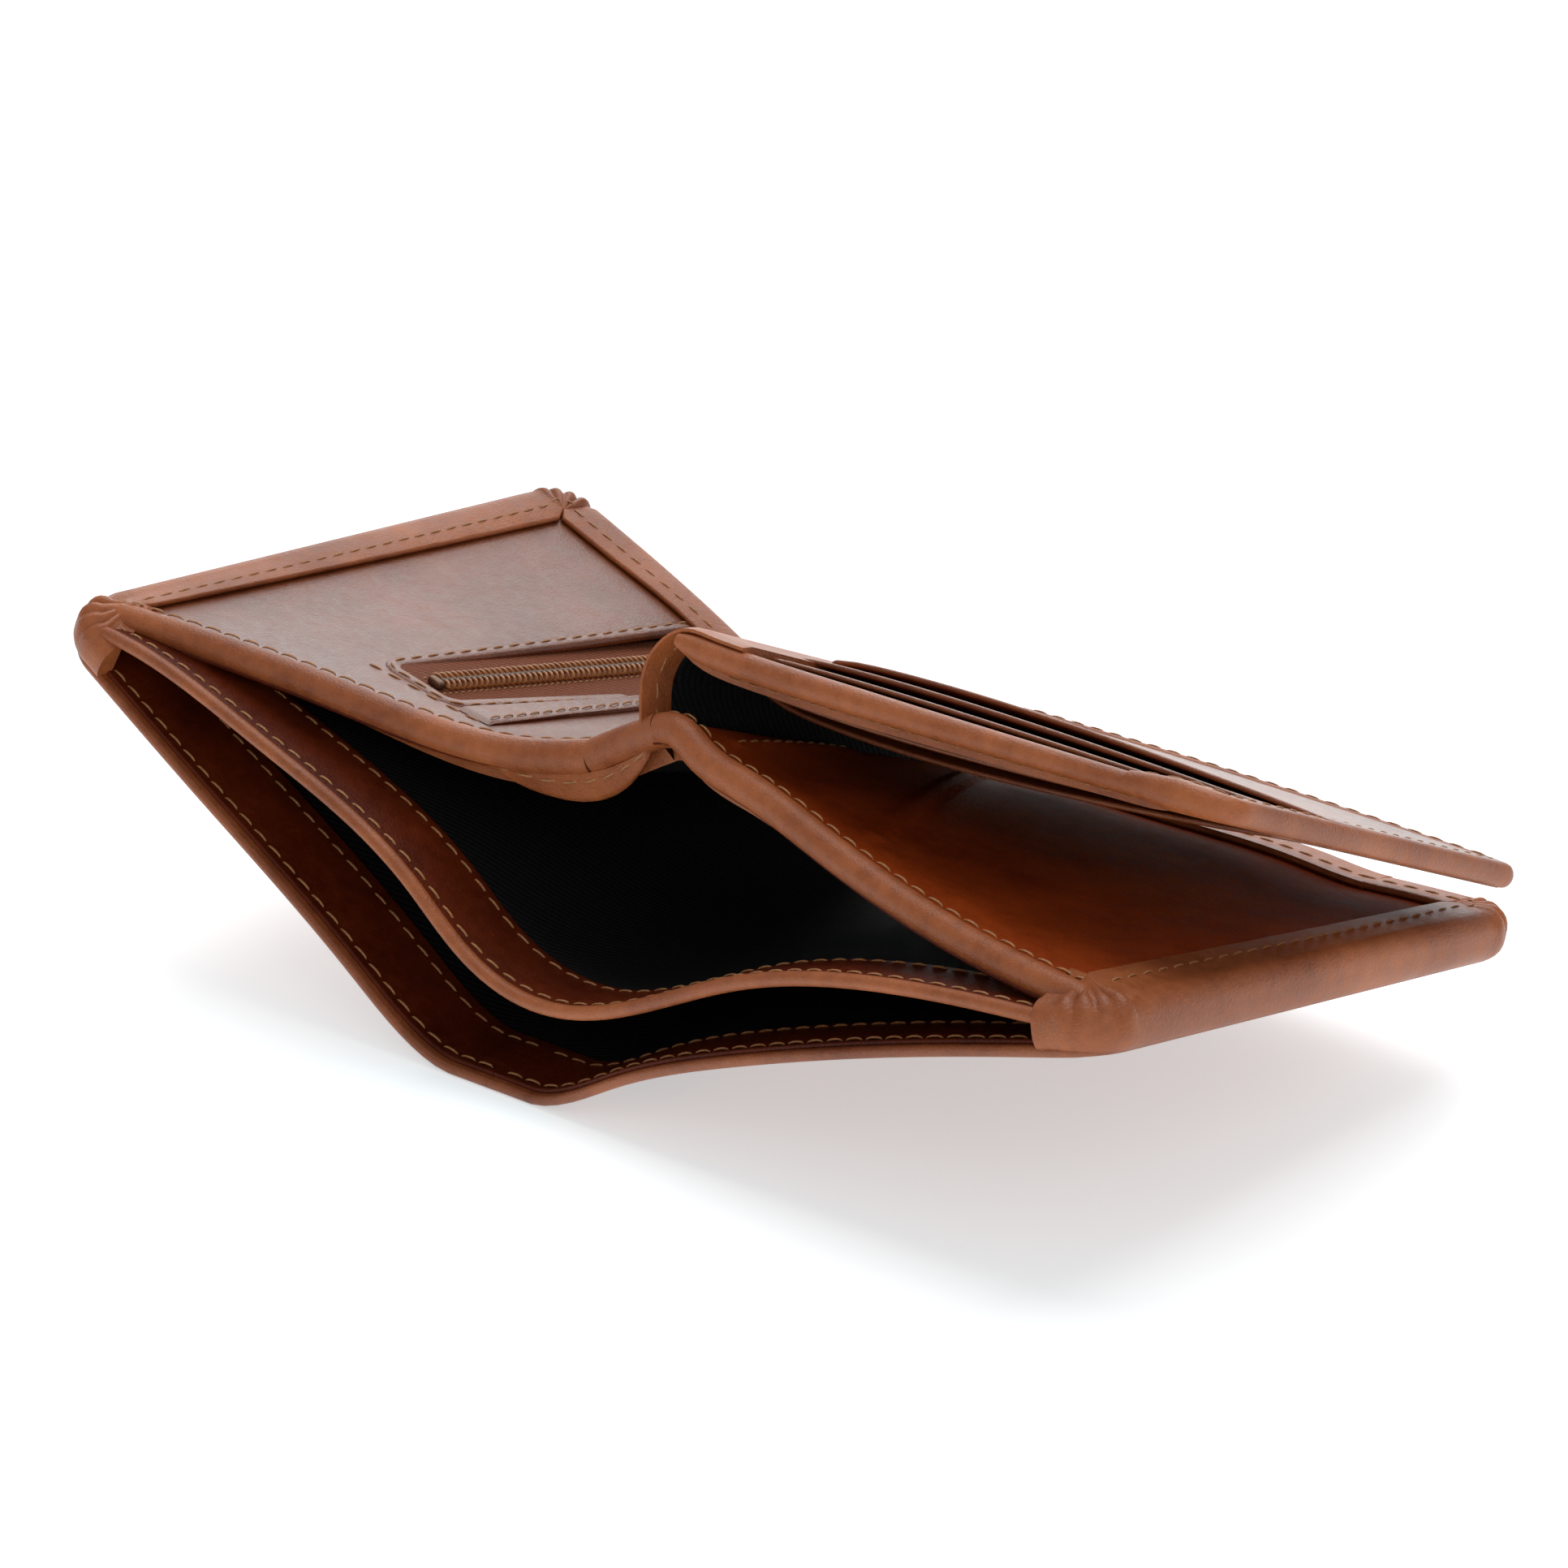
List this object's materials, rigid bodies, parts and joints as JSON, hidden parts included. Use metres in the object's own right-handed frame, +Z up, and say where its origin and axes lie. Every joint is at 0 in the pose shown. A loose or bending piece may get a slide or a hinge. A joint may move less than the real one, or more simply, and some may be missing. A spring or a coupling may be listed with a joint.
{
  "type": "bifold wallet",
  "caption": "Leather bifold wallet lying open on its cover, with two note compartments, a hinged flap of card pockets and a zipped coin pocket.",
  "frame": {"origin": "on the flat under the cover's spine band, midway along it, on the table", "axes": "+X across the open wallet towards the leaf with the flap, +Y from the note mouth to the closed foot edge, +Z up"},
  "size_m": [0.1832, 0.0962, 0.0581],
  "materials": {
    "cover_leather": "smooth chestnut leather, satin",
    "facing_leather": "smooth leather, satin",
    "panel_leather": "glazed leather, glossy",
    "edge_leather": "folded leather edge, soft satin",
    "flap_leather": "tan leather, satin",
    "twill_lining": "black ribbed twill, matt",
    "zip_tape": "woven brown tape, matt",
    "zip_coil": "amber nylon coil, glossy",
    "zip_metal": "antiqued brass, satin",
    "seam_thread": "golden tan waxed thread"
  },
  "bodies": {
    "spine_band": {"cover_spine": "cover_leather"},
    "left_leaf": {"cover_left": "cover_leather", "cover_facing_left": "facing_leather", "cover_lining_left": "twill_lining", "divider_left": "facing_leather", "inner_lining_left": "twill_lining", "coin_pouch": "twill_lining", "inner_panel_left": "panel_leather", "mouth_binding_left": "edge_leather", "turned_edge_left": "edge_leather", "turned_foot_left": "edge_leather"},
    "right_leaf": {"cover_right": "cover_leather", "cover_facing_right": "facing_leather", "cover_lining_right": "twill_lining", "divider_right": "facing_leather", "inner_lining_right": "twill_lining", "inner_panel_right": "panel_leather", "slip_pocket_right": "panel_leather", "mouth_binding_right": "edge_leather", "turned_edge_right": "edge_leather", "turned_foot_right": "edge_leather"},
    "spine_crest": {"inner_spine": "edge_leather", "flap_hinge_strip": "edge_leather"},
    "flap": {"flap_top_pocket_1": "flap_leather", "flap_top_pocket_2": "flap_leather", "flap_top_pocket_3": "flap_leather", "flap_backing": "flap_leather", "flap_lining": "twill_lining", "flap_under_pocket_1": "flap_leather", "flap_under_pocket_2": "flap_leather", "flap_binding": "edge_leather"},
    "zip": {"zip_tape_outer": "zip_tape", "zip_tape_inner": "zip_tape", "zip_coil_outer": "zip_coil", "zip_coil_inner": "zip_coil", "zip_stops": "zip_metal"},
    "zip_slider": {"zip_slider": "zip_metal"},
    "zip_pull": {"zip_pull": "zip_metal"}
  },
  "joints": [
    {"name": "fold_left", "type": "hinge", "parent": "spine_band", "child": "left_leaf", "pos_m": [-0.012, 0, 0.006], "axis": [0, -1, 0], "range_deg": [-58, 0], "deforming": ["divider_left", "inner_lining_left", "coin_pouch", "inner_panel_left", "mouth_binding_left"]},
    {"name": "fold_right", "type": "hinge", "parent": "spine_band", "child": "right_leaf", "pos_m": [0.004, 0, 0.006], "axis": [0, 1, 0], "range_deg": [-66, 0], "deforming": ["divider_right", "inner_lining_right", "inner_panel_right", "slip_pocket_right", "mouth_binding_right", "inner_spine", "flap_hinge_strip"]},
    {"name": "spine_settle", "type": "hinge", "parent": "right_leaf", "child": "spine_crest", "pos_m": [0.04316, 0.05182, 0.00502], "axis": [0.7649, -0.5322, 0.363], "range_deg": [0, 24.12]},
    {"name": "flap_turn", "type": "hinge", "parent": "spine_crest", "child": "flap", "pos_m": [0.00674, -0.02675, 0.05319], "axis": [0.0245, -0.9203, 0.3905], "range_deg": [0, 150], "deforming": ["flap_hinge_strip"]},
    {"name": "zip_settle", "type": "hinge", "parent": "left_leaf", "child": "zip", "pos_m": [-0.04263, 0.04552, 0.03103], "axis": [0.5822, 0.7102, -0.3958], "range_deg": [0, 18.98]},
    {"name": "zip_slide", "type": "slide", "parent": "zip", "child": "zip_slider", "axis": [0.0101, -0.9818, 0.1899], "range_m": [0, 0.046]},
    {"name": "pull_swing", "type": "hinge", "parent": "zip_slider", "child": "zip_pull", "pos_m": [-0.04095, 0.03264, 0.03301], "axis": [0.9464, -0.052, -0.3188], "range_deg": [0, 165]}
  ],
  "couplings": [
    {"joint": "spine_settle", "follows": "fold_right", "ratio": -0.35789},
    {"joint": "zip_settle", "follows": "fold_left", "ratio": -0.31871}
  ]
}
